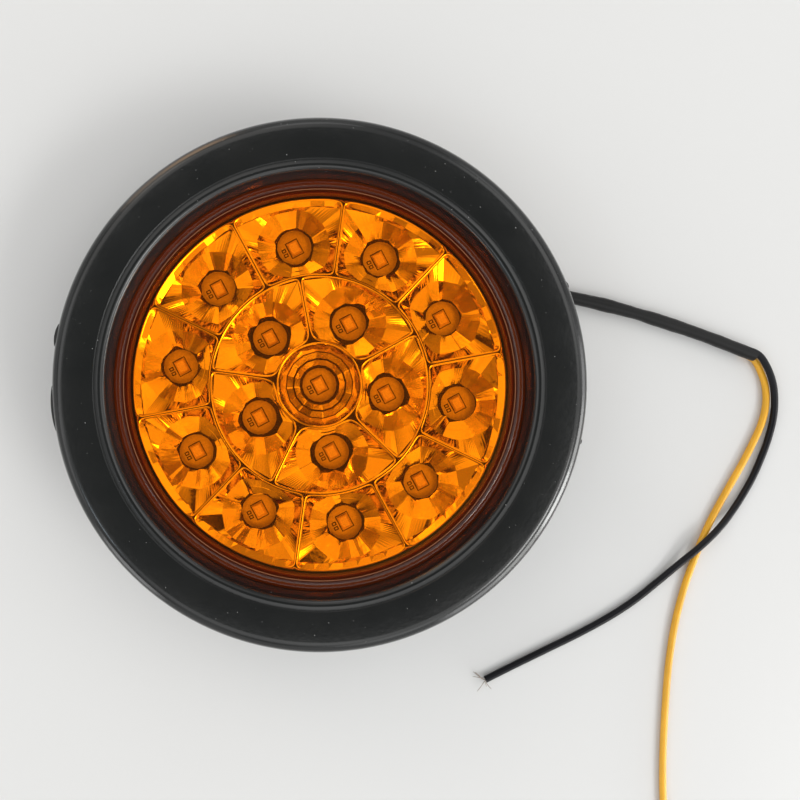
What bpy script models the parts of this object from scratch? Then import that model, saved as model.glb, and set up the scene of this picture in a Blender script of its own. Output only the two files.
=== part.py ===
"""Round amber LED trailer lamp in its black rubber mounting grommet, with its two-wire lead.

Metres, +Z up. The lamp faces up and stands on the boss at the back of its housing, and the origin is the
centre of that boss's rear face. Lengths below are millimetres and are scaled by MM where they are used.
"""

import math

import bmesh
import bpy
from mathutils import Matrix, Vector

MM = 0.001
GAP = 0.3  # clearance between pieces that touch on the real lamp
TURNED_SEGMENTS = 48

# Mounting grommet: it snaps into a 114.3 mm (4 1/2 in) hole in the panel.
FLANGE_RADIUS = 68.5
FLANGE_TOP = 35.0
FLANGE_UNDERSIDE = 30.2
NECK_RADIUS = 57.0
GROOVE_WIDTH = 5.0
REAR_LIP_RADIUS = 61.0
GROMMET_REAR = 8.0
FACE_INNER_RADIUS = 56.1
FACE_OUTER_RADIUS = 65.5
RETAINING_LIP_RADIUS = 52.6

# Lamp: a 4 in sealed round lamp.
LAMP_FLANGE_RADIUS = 54.8
LAMP_FLANGE_BOTTOM = 24.6
DRUM_RADIUS = 50.4
DRUM_INNER_RADIUS = 49.2
DRUM_FLOOR = 9.0
BOSS_RADIUS = 36.0
BOSS_INNER_RADIUS = 34.2
HOUSING_WALL = 2.0
HOUSING_TOP = 27.0
LENS_RADIUS = 52.2
LENS_INNER_RADIUS = 50.2
LENS_FLANGE_TOP = 29.6
LENS_TOP = 32.0
LENS_THICKNESS = 2.0
WELD_PLANE = HOUSING_TOP + GAP

# Board
BOARD_RADIUS = 48.0
BOARD_THICKNESS = 1.6
BOARD_TOP = 21.2
BOARD_BOTTOM = BOARD_TOP - BOARD_THICKNESS

# Reflector: one centre cup, a ring of five and a ring of ten, on a polar grid of ridges.
RIDGE_HEIGHT = 28.2
CUP_BOTTOM = 22.8
CENTRE_RIDGE_RADIUS = 11.3
MIDDLE_RIDGE_RADIUS = 28.65
OUTER_RIDGE_RADIUS = 48.7
CUP_HOLE_RADIUS = 4.7
CUP_MIDDLE_SHARE = 0.7  # height of a cup's middle loop, as a share of its depth
CUP_MIDDLE_REACH = 0.62  # how far that loop has opened towards the ridge
REFLECTOR_THICKNESS = 0.8
GRID_STEPS = 40
GRID_ANGLE = 360.0 / GRID_STEPS
FIRST_SPOKE = 28.4  # degrees from +X
SPOKE_POINTS = 3  # points between the two ends of a spoke
INNER_CUPS = 5
OUTER_CUPS = 10
INNER_LED_RADIUS = 18.3
OUTER_LED_RADIUS = 37.45

# Light-emitting diodes, 2835 package
LED_LENGTH = 3.5
LED_WIDTH = 2.8
LED_HEIGHT = 0.8
LED_TURN = 118.0  # degrees, the same for every one

# Fixings and parts on the board
SCREW_CIRCLE_RADIUS = 27.0
SCREW_ANGLES = tuple(FIRST_SPOKE + 54.0 + 108.0 * k for k in range(3))
SCREW_HEAD_RADIUS = 2.5
SCREW_HEAD_HEIGHT = 1.6
SCREW_SHANK_RADIUS = 1.2
SCREW_END = 11.0
POST_RADIUS = 3.2
RESISTOR_SIZE = (3.2, 1.6, 0.6)
RESISTOR_CIRCLE_RADIUS = 14.0
DIODE_SIZE = (4.3, 2.6, 2.2)

# Lead: its gland in the boss's side wall, the sleeve, and the two wires that come out of the sleeve.
GLAND_ANGLE = 30.0
GLAND_HEIGHT = 5.2
GLAND_NECK_RADIUS = 2.4
GLAND_FLANGE_RADIUS = 3.4
GLAND_BARB_RADIUS = 2.85
GLAND_TIP = 41.0  # distance of its outer end from the lamp's axis
GLAND_INNER_END = 32.4
SLEEVE_HALF_WIDTH = 1.8
SLEEVE_HALF_HEIGHT = 2.15
WIRE_RADIUS = 1.0
WIRE_SPACING = 4.6
INNER_LEAD_RADIUS = 0.8
STRANDS_RADIUS = 0.5
STRANDS_LENGTH = 6.0

SLEEVE_ROUTE = (
    (35.8, 20.65, 5.2),
    (39.4, 22.7, 5.0),
    (43.5, 24.7, 4.45),
    (48.0, 26.4, 3.7),
    (53.0, 27.5, 2.95),
    (58.3, 27.9, 2.5),
    (63.8, 27.6, 2.3),
    (69.6, 26.7, 2.2),
    (75.6, 25.4, 2.2),
    (84.3, 23.4, 2.2),
    (94.2, 20.7, 2.2),
    (105.2, 17.2, 2.2),
    (114.6, 13.9, 2.2),
    (121.6, 11.2, 2.2),
    (128.0, 8.7, 2.2),
)
BLACK_ROUTE = (
    (128.6, 8.9, 3.2),
    (131.4, 4.9, 3.05),
    (133.3, -0.1, 2.6),
    (134.0, -5.4, 2.0),
    (133.8, -10.7, 1.4),
    (132.5, -16.3, 1.1),
    (130.4, -22.0, 1.05),
    (127.8, -27.8, 1.05),
    (124.3, -33.8, 1.15),
    (120.3, -39.0, 1.9),
    (116.7, -42.7, 2.8),
    (113.0, -46.1, 3.2),
    (109.6, -49.3, 2.8),
    (106.0, -52.7, 1.9),
    (99.9, -58.2, 1.15),
    (93.2, -63.6, 1.05),
    (85.9, -68.4, 1.05),
    (77.0, -73.3, 1.05),
    (66.6, -78.4, 1.05),
    (57.4, -82.9, 1.05),
    (49.0, -87.1, 1.05),
)
YELLOW_ROUTE = (
    (128.3, 7.5, 1.15),
    (130.6, 3.6, 1.05),
    (131.9, -0.9, 1.05),
    (131.9, -6.2, 1.05),
    (130.6, -11.6, 1.05),
    (128.2, -17.0, 1.05),
    (125.4, -22.5, 1.05),
    (122.3, -28.0, 1.05),
    (118.9, -34.0, 1.05),
    (115.6, -40.2, 1.05),
    (112.7, -46.7, 1.05),
    (110.2, -53.1, 1.05),
    (107.8, -60.0, 1.05),
    (105.8, -67.4, 1.05),
    (104.3, -75.0, 1.05),
    (103.2, -83.0, 1.05),
    (102.5, -91.0, 1.05),
    (102.0, -99.0, 1.05),
    (101.6, -107.5, 1.05),
    (101.5, -116.5, 1.05),
    (101.7, -126.0, 1.05),
)


def clear_scene():
    for obj in list(bpy.data.objects):
        bpy.data.objects.remove(obj, do_unlink=True)


def material(name, colour, roughness, metallic=0.0):
    made = bpy.data.materials.new(name)
    made.use_nodes = True
    shader = made.node_tree.nodes["Principled BSDF"]
    shader.inputs["Base Color"].default_value = (*colour, 1.0)
    shader.inputs["Roughness"].default_value = roughness
    shader.inputs["Metallic"].default_value = metallic
    made.diffuse_color = (*colour, 1.0)
    return made


def add_object(name, data, look=None):
    obj = bpy.data.objects.new(name, data)
    bpy.context.scene.collection.objects.link(obj)
    if look is not None:
        data.materials.append(look)
    return obj


def mesh_object(name, points, faces, look=None, smooth=True):
    """A mesh from points in millimetres, with its faces turned outwards."""
    mesh = bpy.data.meshes.new(name)
    mesh.from_pydata([Vector(p) * MM for p in points], [], faces)
    grid = bmesh.new()
    grid.from_mesh(mesh)
    bmesh.ops.recalc_face_normals(grid, faces=grid.faces)
    grid.to_mesh(mesh)
    grid.free()
    if smooth:
        mesh.shade_smooth()
        mesh.set_sharp_from_angle(angle=math.radians(35))
    return add_object(name, mesh, look)


def turned(name, profile, look=None, segments=TURNED_SEGMENTS):
    """A closed solid turned about Z. profile lists (radius, height); an end at radius 0 closes on the axis."""
    solid_core = profile[0][0] == 0 and profile[-1][0] == 0
    rings = profile[1:-1] if solid_core else profile
    points = []
    for radius, height in rings:
        for step in range(segments):
            angle = math.tau * step / segments
            points.append((radius * math.cos(angle), radius * math.sin(angle), height))
    pairs = [(i, i + 1) for i in range(len(rings) - 1)]
    if not solid_core:
        pairs.append((len(rings) - 1, 0))
    faces = []
    for a, b in pairs:
        for step in range(segments):
            following = (step + 1) % segments
            faces.append(
                (
                    a * segments + step,
                    a * segments + following,
                    b * segments + following,
                    b * segments + step,
                )
            )
    if solid_core:
        for ring, end in ((0, profile[0]), (len(rings) - 1, profile[-1])):
            centre = len(points)
            points.append((0.0, 0.0, end[1]))
            for step in range(segments):
                faces.append(
                    (
                        ring * segments + step,
                        ring * segments + (step + 1) % segments,
                        centre,
                    )
                )
    return mesh_object(name, points, faces, look)


def polar(radius, degrees, height=0.0):
    angle = math.radians(degrees)
    return Vector((radius * math.cos(angle), radius * math.sin(angle), height))


def place(obj, point, turn=0.0):
    obj.location = Vector(point) * MM
    obj.rotation_euler = (0.0, 0.0, math.radians(turn))
    return obj


def helper(obj):
    """Marks an object as a cutter or an added shape, which isn't a piece of the lamp."""
    obj.hide_render = True
    obj.display_type = "WIRE"
    return obj


def combine(obj, other, operation, solver="EXACT"):
    step = obj.modifiers.new(operation.title(), "BOOLEAN")
    step.operation = operation
    step.solver = solver
    step.object = helper(other)


def block(name, size, look, bevel=0.12):
    x, y, z = (side / 2 for side in size)
    points = [(sx * x, sy * y, sz * z) for sz in (-1, 1) for sy in (-1, 1) for sx in (-1, 1)]
    faces = [(0, 2, 3, 1), (4, 5, 7, 6), (0, 1, 5, 4), (2, 6, 7, 3), (0, 4, 6, 2), (1, 3, 7, 5)]
    obj = mesh_object(name, points, faces, look, smooth=False)
    edges = obj.modifiers.new("Bevel", "BEVEL")
    edges.width = bevel * MM
    edges.segments = 1
    return obj


def smooth_points(route, spacing):
    """Points about spacing apart on a Catmull-Rom curve through the route's own points."""
    knots = [Vector(p) for p in route]
    ends = [2 * knots[0] - knots[1], *knots, 2 * knots[-1] - knots[-2]]
    fine = []
    for i in range(1, len(ends) - 2):
        before, start, end, after = ends[i - 1 : i + 3]
        for step in range(16):
            t = step / 16
            fine.append(
                0.5
                * (
                    2 * start
                    + (end - before) * t
                    + (2 * before - 5 * start + 4 * end - after) * t**2
                    + (3 * start - before - 3 * end + after) * t**3
                )
            )
    fine.append(knots[-1])
    reach = [0.0]
    for a, b in zip(fine, fine[1:]):
        reach.append(reach[-1] + (b - a).length)
    count = round(reach[-1] / spacing)
    points = []
    at = 0
    for i in range(count + 1):
        wanted = reach[-1] * i / count
        while at < len(reach) - 2 and reach[at + 1] < wanted:
            at += 1
        share = (wanted - reach[at]) / (reach[at + 1] - reach[at])
        points.append(fine[at].lerp(fine[at + 1], min(share, 1.0)))
    return points


def tube(name, route, radius, look, spacing=WIRE_SPACING):
    """A round cord along a route, as a curve with filled caps."""
    points = smooth_points(route, spacing)
    curve = bpy.data.curves.new(name, "CURVE")
    curve.dimensions = "3D"
    curve.bevel_depth = radius * MM
    curve.bevel_resolution = 2
    curve.use_fill_caps = True
    spline = curve.splines.new("POLY")
    spline.points.add(len(points) - 1)
    for target, point in zip(spline.points, points):
        target.co = (*(point * MM), 1.0)
        target.tilt = 0.0
    return add_object(name, curve, look)


def oval_tube(name, route, half_width, half_height, look, sides=12, spacing=5.0):
    """A cord of oval section, its long way up, along a route that runs nearly level."""
    points = smooth_points(route, spacing)
    ring_points = []
    for i, point in enumerate(points):
        along = (points[min(i + 1, len(points) - 1)] - points[max(i - 1, 0)]).normalized()
        across = Vector((-along.y, along.x, 0.0)).normalized()
        upward = along.cross(across).normalized()
        if upward.z < 0:
            upward.negate()
        for step in range(sides):
            angle = math.tau * step / sides
            offset = across * (half_width * math.cos(angle)) + upward * (half_height * math.sin(angle))
            ring_points.append(point + offset)
    faces = []
    for i in range(len(points) - 1):
        for step in range(sides):
            following = (step + 1) % sides
            faces.append(
                (
                    i * sides + step,
                    i * sides + following,
                    (i + 1) * sides + following,
                    (i + 1) * sides + step,
                )
            )
    faces.append(tuple(range(sides)))
    faces.append(tuple((len(points) - 1) * sides + step for step in range(sides)))
    return mesh_object(name, ring_points, faces, look)


def make_grommet(look):
    groove_bottom = FLANGE_UNDERSIDE - GROOVE_WIDTH
    seat = LAMP_FLANGE_RADIUS + GAP
    profile = (
        (FACE_INNER_RADIUS, FLANGE_TOP),
        (FACE_OUTER_RADIUS, FLANGE_TOP),
        (67.6, 34.2),
        (FLANGE_RADIUS, 32.8),
        (FLANGE_RADIUS, 31.4),
        (67.4, FLANGE_UNDERSIDE),
        (NECK_RADIUS, FLANGE_UNDERSIDE),
        (NECK_RADIUS, groove_bottom),
        (60.3, groove_bottom),
        (REAR_LIP_RADIUS, groove_bottom - 0.8),
        (60.4, 20.5),
        (57.2, 13.5),
        (55.6, 8.8),
        (54.6, GROMMET_REAR),
        (51.6, GROMMET_REAR),
        (DRUM_RADIUS + GAP, 8.9),
        (DRUM_RADIUS + GAP, LAMP_FLANGE_BOTTOM - GAP),
        (seat, LAMP_FLANGE_BOTTOM - GAP),
        (seat, LENS_FLANGE_TOP + GAP),
        (RETAINING_LIP_RADIUS + 0.3, LENS_FLANGE_TOP + GAP),
        (RETAINING_LIP_RADIUS, LENS_FLANGE_TOP + 0.7),
        (RETAINING_LIP_RADIUS, 31.6),
        (53.0, 33.0),
        (54.1, 34.2),
    )
    return turned("grommet", profile, look)


def make_lens(look):
    inside = LENS_TOP - LENS_THICKNESS
    profile = (
        (0.0, LENS_TOP),
        (LENS_RADIUS - 1.0, LENS_TOP),
        (LENS_RADIUS - 0.3, LENS_TOP - 0.3),
        (LENS_RADIUS, LENS_TOP - 1.0),
        (LENS_RADIUS, LENS_FLANGE_TOP),
        (LAMP_FLANGE_RADIUS, LENS_FLANGE_TOP),
        (LAMP_FLANGE_RADIUS, WELD_PLANE),
        (LENS_INNER_RADIUS, WELD_PLANE),
        (LENS_INNER_RADIUS, inside - 0.6),
        (LENS_INNER_RADIUS - 0.6, inside),
        (0.0, inside),
    )
    return turned("lens", profile, look)


def make_screw_holes(name, bottom, top):
    """Three clearance holes for the board screws, as one cutter."""
    grid = bmesh.new()
    for degrees in SCREW_ANGLES:
        where = polar(SCREW_CIRCLE_RADIUS, degrees, (bottom + top) / 2) * MM
        bmesh.ops.create_cone(
            grid,
            cap_ends=True,
            segments=16,
            radius1=(SCREW_SHANK_RADIUS + GAP) * MM,
            radius2=(SCREW_SHANK_RADIUS + GAP) * MM,
            depth=(top - bottom) * MM,
            matrix=Matrix.Translation(where),
        )
    mesh = bpy.data.meshes.new(name)
    grid.to_mesh(mesh)
    grid.free()
    return add_object(name, mesh)


def make_housing(look):
    profile = (
        (0.0, 0.0),
        (BOSS_RADIUS - 0.8, 0.0),
        (BOSS_RADIUS, 0.8),
        (BOSS_RADIUS, DRUM_FLOOR),
        (DRUM_RADIUS - 1.0, DRUM_FLOOR),
        (DRUM_RADIUS, DRUM_FLOOR + 1.0),
        (DRUM_RADIUS, LAMP_FLANGE_BOTTOM),
        (LAMP_FLANGE_RADIUS, LAMP_FLANGE_BOTTOM),
        (LAMP_FLANGE_RADIUS, HOUSING_TOP),
        (DRUM_INNER_RADIUS, HOUSING_TOP),
        (DRUM_INNER_RADIUS, DRUM_FLOOR + HOUSING_WALL),
        (BOSS_INNER_RADIUS, DRUM_FLOOR + HOUSING_WALL),
        (BOSS_INNER_RADIUS, HOUSING_WALL),
        (0.0, HOUSING_WALL),
    )
    housing = turned("housing", profile, look)
    post_top = BOARD_BOTTOM - GAP
    post_bottom = HOUSING_WALL - 1.0
    for number, degrees in enumerate(SCREW_ANGLES, start=1):
        post = turned(
            f"post_shape_{number}",
            ((0.0, post_bottom), (POST_RADIUS, post_bottom), (POST_RADIUS, post_top), (0.0, post_top)),
            segments=16,
        )
        combine(housing, place(post, polar(SCREW_CIRCLE_RADIUS, degrees)), "UNION")
    combine(housing, make_screw_holes("post_holes", SCREW_END - 1.0, post_top + 1.0), "DIFFERENCE")
    bore = turned(
        "gland_bore",
        (
            (0.0, BOSS_INNER_RADIUS - 3.0),
            (GLAND_NECK_RADIUS + GAP, BOSS_INNER_RADIUS - 3.0),
            (GLAND_NECK_RADIUS + GAP, BOSS_RADIUS + 2.0),
            (0.0, BOSS_RADIUS + 2.0),
        ),
        segments=24,
    )
    aim_at_gland(bore)
    combine(housing, bore, "DIFFERENCE", solver="MANIFOLD")  # the exact solver leaves this cut open
    return housing


def aim_at_gland(obj):
    """Lays a shape turned about Z along the lead's exit, which is level and radial."""
    obj.matrix_world = (
        Matrix.Translation((0.0, 0.0, GLAND_HEIGHT * MM))
        @ Matrix.Rotation(math.radians(GLAND_ANGLE), 4, "Z")
        @ Matrix.Rotation(math.radians(90), 4, "Y")
    )


def make_gland(look):
    wall_inside = BOSS_INNER_RADIUS - GAP
    wall_outside = BOSS_RADIUS + GAP
    profile = (
        (0.0, GLAND_INNER_END),
        (GLAND_BARB_RADIUS, GLAND_INNER_END),
        (GLAND_BARB_RADIUS, wall_inside - 0.3),
        (GLAND_NECK_RADIUS, wall_inside - 0.3),
        (GLAND_NECK_RADIUS, wall_outside),
        (GLAND_FLANGE_RADIUS, wall_outside),
        (GLAND_FLANGE_RADIUS, wall_outside + 1.3),
        (3.0, wall_outside + 1.6),
        (2.6, GLAND_TIP),
        (0.0, GLAND_TIP),
    )
    gland = turned("wire_gland", profile, look, segments=20)
    aim_at_gland(gland)
    return gland


def make_board(look):
    profile = (
        (0.0, BOARD_BOTTOM),
        (BOARD_RADIUS, BOARD_BOTTOM),
        (BOARD_RADIUS, BOARD_TOP),
        (0.0, BOARD_TOP),
    )
    board = turned("circuit_board", profile, look)
    combine(board, make_screw_holes("board_holes", BOARD_BOTTOM - 1.0, BOARD_TOP + 1.0), "DIFFERENCE")
    return board


def led_places():
    """(name, place) of each LED: one in the centre, then the inner and the outer ring."""
    places = [("led_center", Vector((0.0, 0.0, 0.0)))]
    for k in range(INNER_CUPS):
        middle = FIRST_SPOKE + (k + 0.5) * 360.0 / INNER_CUPS
        places.append((f"led_inner_{k + 1}", polar(INNER_LED_RADIUS, middle)))
    for k in range(OUTER_CUPS):
        middle = FIRST_SPOKE + k * 360.0 / OUTER_CUPS
        places.append((f"led_outer_{k + 1}", polar(OUTER_LED_RADIUS, middle)))
    return places


def make_leds(look):
    height = BOARD_TOP + GAP + LED_HEIGHT / 2
    for name, where in led_places():
        led = block(name, (LED_LENGTH, LED_WIDTH, LED_HEIGHT), look)
        place(led, (where.x, where.y, height), LED_TURN)


class ReflectorGrid:
    """The reflector's front sheet: ridge points on a polar grid, and the cup that hangs from each cell."""

    def __init__(self):
        self.points = []
        self.faces = []
        self.centre_ring = self.ring(CENTRE_RIDGE_RADIUS)
        self.middle_ring = self.ring(MIDDLE_RIDGE_RADIUS)
        self.outer_ring = self.ring(OUTER_RIDGE_RADIUS)

    def add(self, point):
        self.points.append(point)
        return len(self.points) - 1

    def ring(self, radius):
        return [
            self.add(polar(radius, FIRST_SPOKE + step * GRID_ANGLE, RIDGE_HEIGHT))
            for step in range(GRID_STEPS)
        ]

    def spoke(self, inner_radius, outer_radius, step):
        degrees = FIRST_SPOKE + step * GRID_ANGLE
        made = []
        for i in range(1, SPOKE_POINTS + 1):
            radius = inner_radius + (outer_radius - inner_radius) * i / (SPOKE_POINTS + 1)
            made.append(self.add(polar(radius, degrees, RIDGE_HEIGHT)))
        return made

    def cup(self, outline, centre):
        """Two bands of faces from the cell's outline down to the hole round its LED."""
        depth = RIDGE_HEIGHT - CUP_BOTTOM
        middle = []
        bottom = []
        for index in outline:
            away = Vector((self.points[index].x - centre.x, self.points[index].y - centre.y, 0.0))
            reach = away.length
            away.normalize()
            opened = CUP_HOLE_RADIUS + (reach - CUP_HOLE_RADIUS) * CUP_MIDDLE_REACH
            level = Vector((centre.x, centre.y, CUP_BOTTOM + depth * CUP_MIDDLE_SHARE))
            middle.append(self.add(level + away * opened))
            bottom.append(self.add(Vector((centre.x, centre.y, CUP_BOTTOM)) + away * CUP_HOLE_RADIUS))
        for upper, lower in ((outline, middle), (middle, bottom)):
            for i in range(len(outline)):
                j = (i + 1) % len(outline)
                self.faces.append((upper[i], upper[j], lower[j], lower[i]))

    def sectors(self, inner_ring, outer_ring, radii, first_step, steps, centres):
        """The cups between two rings, with a spoke between each two."""
        count = GRID_STEPS // steps
        spokes = [self.spoke(*radii, first_step + k * steps) for k in range(count)]
        for k, centre in enumerate(centres):
            start = first_step + k * steps
            arc = [(start + i) % GRID_STEPS for i in range(steps + 1)]
            outline = [outer_ring[i] for i in arc]
            outline += reversed(spokes[(k + 1) % count])
            outline += [inner_ring[i] for i in reversed(arc)]
            outline += spokes[k]
            self.cup(outline, centre)


def make_reflector(look):
    centres = [where for _, where in led_places()]
    grid = ReflectorGrid()
    grid.cup(grid.centre_ring, centres[0])
    inner = centres[1 : 1 + INNER_CUPS]
    outer = centres[1 + INNER_CUPS :]
    inner_radii = (CENTRE_RIDGE_RADIUS, MIDDLE_RIDGE_RADIUS)
    outer_radii = (MIDDLE_RIDGE_RADIUS, OUTER_RIDGE_RADIUS)
    inner_steps = GRID_STEPS // INNER_CUPS
    outer_steps = GRID_STEPS // OUTER_CUPS
    grid.sectors(grid.centre_ring, grid.middle_ring, inner_radii, 0, inner_steps, inner)
    grid.sectors(grid.middle_ring, grid.outer_ring, outer_radii, -outer_steps // 2, outer_steps, outer)
    reflector = mesh_object("reflector", grid.points, grid.faces, look)
    if sum(face.normal.z for face in reflector.data.polygons) < 0:
        reflector.data.flip_normals()
    shell = reflector.modifiers.new("Solidify", "SOLIDIFY")
    shell.thickness = REFLECTOR_THICKNESS * MM
    shell.offset = -1.0
    return reflector


def make_screws(look):
    head_bottom = BOARD_TOP + GAP
    head_top = head_bottom + SCREW_HEAD_HEIGHT
    profile = (
        (0.0, head_top),
        (SCREW_HEAD_RADIUS - 0.6, head_top),
        (SCREW_HEAD_RADIUS, head_top - 0.7),
        (SCREW_HEAD_RADIUS, head_bottom),
        (SCREW_SHANK_RADIUS, head_bottom),
        (SCREW_SHANK_RADIUS, SCREW_END + 0.8),
        (0.0, SCREW_END),
    )
    for number, degrees in enumerate(SCREW_ANGLES, start=1):
        screw = turned(f"board_screw_{number}", profile, look, segments=12)
        place(screw, polar(SCREW_CIRCLE_RADIUS, degrees), degrees)


def make_board_parts(resistor_look, diode_look):
    """Four dropping resistors and the reverse-polarity diode, on the back of the board."""
    height = BOARD_BOTTOM - GAP - RESISTOR_SIZE[2] / 2
    for k in range(4):
        degrees = 45.0 + 90.0 * k
        resistor = block(f"resistor_{k + 1}", RESISTOR_SIZE, resistor_look, bevel=0.05)
        place(resistor, polar(RESISTOR_CIRCLE_RADIUS, degrees, height), degrees)
    diode = block("polarity_diode", DIODE_SIZE, diode_look, bevel=0.2)
    place(diode, (0.0, 0.0, BOARD_BOTTOM - GAP - DIODE_SIZE[2] / 2), GLAND_ANGLE)


def make_inner_leads(looks):
    """The two wires' ends inside the boss, from the gland up to the board."""
    start = GLAND_INNER_END - GAP
    for (name, look), side in zip(looks, (1.3, -1.3)):
        route = []
        for distance, height in (
            (start, GLAND_HEIGHT),
            (start - 2.4, GLAND_HEIGHT + 0.3),
            (start - 4.8, GLAND_HEIGHT + 1.8),
            (start - 6.4, GLAND_HEIGHT + 4.4),
            (start - 7.0, GLAND_HEIGHT + 8.4),
            (start - 7.2, BOARD_BOTTOM - GAP),
        ):
            along = polar(distance, GLAND_ANGLE, height)
            across = polar(side, GLAND_ANGLE + 90.0)
            route.append(tuple(along + across))
        tube(name, route, INNER_LEAD_RADIUS, look, spacing=1.6)


def make_strands(name, route, look):
    """The bared copper at a wire's end, as one slim bundle in line with the wire."""
    last = Vector(route[-1])
    along = last - Vector(route[-2])
    along.z = 0.0
    along.normalize()
    start = last + along * GAP
    tube(name, (tuple(start), tuple(start + along * STRANDS_LENGTH)), STRANDS_RADIUS, look, spacing=2.0)


def make_lead(rubber, black, yellow, copper):
    make_gland(rubber)
    oval_tube("lead_sleeve", SLEEVE_ROUTE, SLEEVE_HALF_WIDTH, SLEEVE_HALF_HEIGHT, rubber)
    tube("black_wire", BLACK_ROUTE, WIRE_RADIUS, black)
    tube("yellow_wire", YELLOW_ROUTE, WIRE_RADIUS, yellow)
    make_strands("black_strands", BLACK_ROUTE, copper)
    make_strands("yellow_strands", YELLOW_ROUTE, copper)
    make_inner_leads((("black_inner_lead", black), ("yellow_inner_lead", yellow)))


def main():
    clear_scene()
    rubber = material("black_rubber", (0.022, 0.024, 0.025), 0.55)
    black_plastic = material("black_plastic", (0.015, 0.015, 0.016), 0.4)
    make_grommet(rubber)
    make_lens(material("amber_lens", (0.9, 0.35, 0.02), 0.08))
    make_housing(black_plastic)
    make_reflector(material("metallised_plastic", (0.85, 0.83, 0.8), 0.12, 1.0))
    make_board(material("board_mask", (0.75, 0.74, 0.7), 0.45))
    make_leds(material("led_package", (0.9, 0.8, 0.35), 0.35))
    make_screws(material("zinc_steel", (0.7, 0.7, 0.68), 0.3, 1.0))
    make_board_parts(material("resistor_body", (0.03, 0.03, 0.035), 0.5), black_plastic)
    make_lead(
        material("sleeve_rubber", (0.02, 0.02, 0.021), 0.5),
        material("black_insulation", (0.02, 0.02, 0.022), 0.45),
        material("yellow_insulation", (0.85, 0.52, 0.05), 0.45),
        material("tinned_copper", (0.75, 0.6, 0.45), 0.35, 1.0),
    )


main()
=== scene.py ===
"""Looks for the round amber LED trailer lamp in its rubber grommet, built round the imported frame.

Metres, in the frame's own axes. Lengths in the constants below are millimetres and are scaled by MM.
"""

import math
import random

import bmesh
import bpy
from mathutils import Matrix, Vector


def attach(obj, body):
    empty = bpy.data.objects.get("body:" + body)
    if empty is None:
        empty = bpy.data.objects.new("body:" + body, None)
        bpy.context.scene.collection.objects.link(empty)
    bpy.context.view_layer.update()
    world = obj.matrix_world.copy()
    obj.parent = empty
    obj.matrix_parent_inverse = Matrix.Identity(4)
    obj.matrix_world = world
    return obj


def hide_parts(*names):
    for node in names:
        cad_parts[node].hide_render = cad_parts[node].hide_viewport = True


MM = 0.001

# Camera: straight above the lamp, as the photograph is taken
CAMERA_HEIGHT = 235.0
CAMERA_LENS = 35.6
CAMERA_SHIFT = (0.1006, -0.0188)

# The room that lights the lamp: its base colour, and round patches of sky or wall added to it, each with
# azimuth, elevation, half angle, softness and colour. The last takes the light away straight overhead.
ROOM_COLOUR = (0.59, 0.59, 0.59)
ROOM_PATCHES = (
    (313.0, 38.0, 4.5, 3.0, (6.0, 6.0, 5.9)),
    (326.0, 40.0, 5.5, 3.0, (10.0, 10.0, 9.8)),
    (339.0, 40.0, 4.5, 3.0, (5.0, 5.0, 4.9)),
    (306.0, 4.0, 5.0, 5.0, (3.0, 3.0, 3.0)),
    (320.0, 4.0, 5.0, 5.0, (5.0, 5.0, 4.9)),
    (334.0, 4.0, 5.0, 4.0, (14.0, 14.0, 13.8)),
    (348.0, 4.0, 5.0, 5.0, (6.0, 6.0, 5.9)),
    (2.0, 4.0, 5.0, 5.0, (3.0, 3.0, 3.0)),
    (118.0, 4.0, 5.0, 5.0, (3.0, 1.9, 1.1)),
    (131.0, 4.0, 4.0, 4.0, (1.8, 1.3, 0.9)),
    (224.0, 4.0, 6.0, 5.0, (2.6, 2.6, 2.6)),
    (318.0, 46.0, 20.0, 22.0, (0.75, 0.75, 0.74)),
    (128.0, 30.0, 5.0, 4.0, (1.6, 1.45, 1.25)),
    (122.0, 42.0, 12.0, 20.0, (0.65, 0.62, 0.59)),
    (212.0, 48.0, 3.0, 2.5, (4.0, 4.8, 5.3)),
    (32.0, 48.0, 11.0, 12.0, (1.2, 1.2, 1.17)),
    (175.0, 40.0, 8.0, 12.0, (1.0, 1.0, 1.0)),
    (255.0, 50.0, 9.0, 14.0, (0.75, 0.75, 0.75)),
    (8.0, 22.0, 7.0, 5.0, (0.8, 0.8, 0.8)),
    (48.0, 20.0, 7.0, 5.0, (0.9, 0.9, 0.9)),
    (92.0, 22.0, 8.0, 5.0, (1.0, 1.0, 1.0)),
    (196.0, 24.0, 8.0, 5.0, (0.9, 0.9, 0.9)),
    (285.0, 22.0, 9.0, 5.0, (0.9, 0.9, 0.9)),
    (350.0, 14.0, 7.0, 6.0, (-0.3, -0.3, -0.3)),
    (28.0, 16.0, 6.0, 5.0, (-0.3, -0.3, -0.3)),
    (70.0, 16.0, 8.0, 6.0, (-0.35, -0.35, -0.35)),
    (112.0, 16.0, 6.0, 5.0, (-0.25, -0.25, -0.25)),
    (150.0, 16.0, 8.0, 6.0, (-0.3, -0.3, -0.3)),
    (178.0, 16.0, 5.0, 5.0, (-0.3, -0.3, -0.3)),
    (225.0, 16.0, 9.0, 7.0, (-0.35, -0.35, -0.35)),
    (258.0, 18.0, 6.0, 5.0, (-0.3, -0.3, -0.3)),
    (0.0, 90.0, 16.0, 6.0, (-4.0, -4.0, -4.0)),
)
OVERHEAD_COLOUR = (0.06, 0.06, 0.06)

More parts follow.
